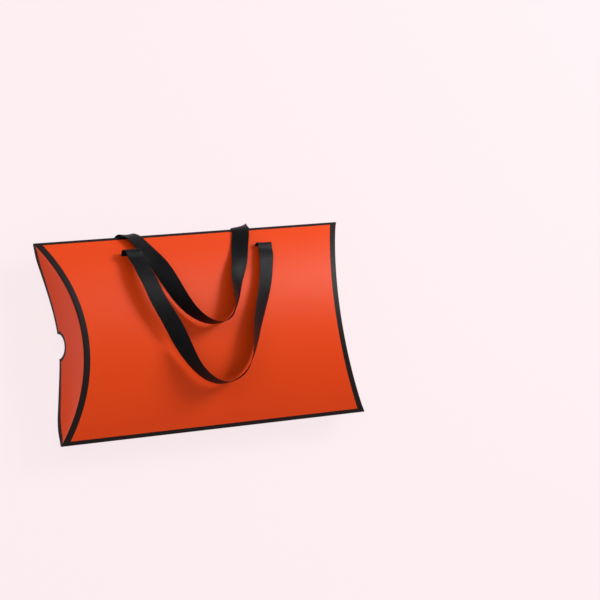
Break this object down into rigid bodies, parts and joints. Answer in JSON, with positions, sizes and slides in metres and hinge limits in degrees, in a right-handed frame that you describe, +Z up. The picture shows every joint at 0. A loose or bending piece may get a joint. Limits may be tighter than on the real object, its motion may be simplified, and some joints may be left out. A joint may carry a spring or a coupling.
{
  "type": "pillow box",
  "caption": "Pillow-shaped gift box of creased paperboard: bowed panels, curved end flaps with thumb notches, and ribbon handles looped through slots near the top edge.",
  "frame": {"origin": "under the middle of the bowed back panel, on the surface the box lies on", "axes": "+X runs along the box from its left end to its right end, +Y points to its top fold, +Z is up, out of the front panel"},
  "size_m": [0.32, 0.1922, 0.0694],
  "materials": {
    "board": "satin orange print on white paperboard, with black borders",
    "ribbon": "woven black satin ribbon"
  },
  "bodies": {
    "box": {"front_panel": "board", "back_panel": "board", "bottom_fold": "board", "top_fold": "board", "glue_flap": "board", "front_left_tail": "ribbon", "front_right_tail": "ribbon", "back_left_tail": "ribbon", "back_right_tail": "ribbon"},
    "right_outer": {"right_outer_flap": "board"},
    "right_inner": {"right_inner_flap": "board"},
    "left_outer": {"left_outer_flap": "board"},
    "left_inner": {"left_inner_flap": "board"},
    "front_loop": {"front_handle": "ribbon"},
    "back_loop": {"back_handle": "ribbon"}
  },
  "joints": [
    {"name": "right_outer_flap_hinge", "type": "hinge", "parent": "box", "child": "right_outer", "pos_m": [0.13575, 0, 0.05], "axis": [0, -1, 0], "range_deg": [0, 90]},
    {"name": "right_inner_flap_hinge", "type": "hinge", "parent": "box", "child": "right_inner", "pos_m": [0.13485, 0, 0], "axis": [0, 1, 0], "range_deg": [0, 90]},
    {"name": "left_outer_flap_hinge", "type": "hinge", "parent": "box", "child": "left_outer", "pos_m": [-0.13575, 0, 0.05], "axis": [0, 1, 0], "range_deg": [0, 90]},
    {"name": "left_inner_flap_hinge", "type": "hinge", "parent": "box", "child": "left_inner", "pos_m": [-0.13485, 0, 0], "axis": [0, -1, 0], "range_deg": [0, 90]},
    {"name": "front_handle_hinge", "type": "hinge", "parent": "box", "child": "front_loop", "pos_m": [0, 0.0715, 0.04121], "axis": [-1, 0, 0], "range_deg": [0, 150]},
    {"name": "back_handle_hinge", "type": "hinge", "parent": "box", "child": "back_loop", "pos_m": [0, 0.081, 0.01219], "axis": [-1, 0, 0], "range_deg": [0, 150]}
  ],
  "couplings": [
    {"joint": "right_inner_flap_hinge", "follows": "right_outer_flap_hinge", "ratio": 1},
    {"joint": "left_inner_flap_hinge", "follows": "left_outer_flap_hinge", "ratio": 1}
  ]
}
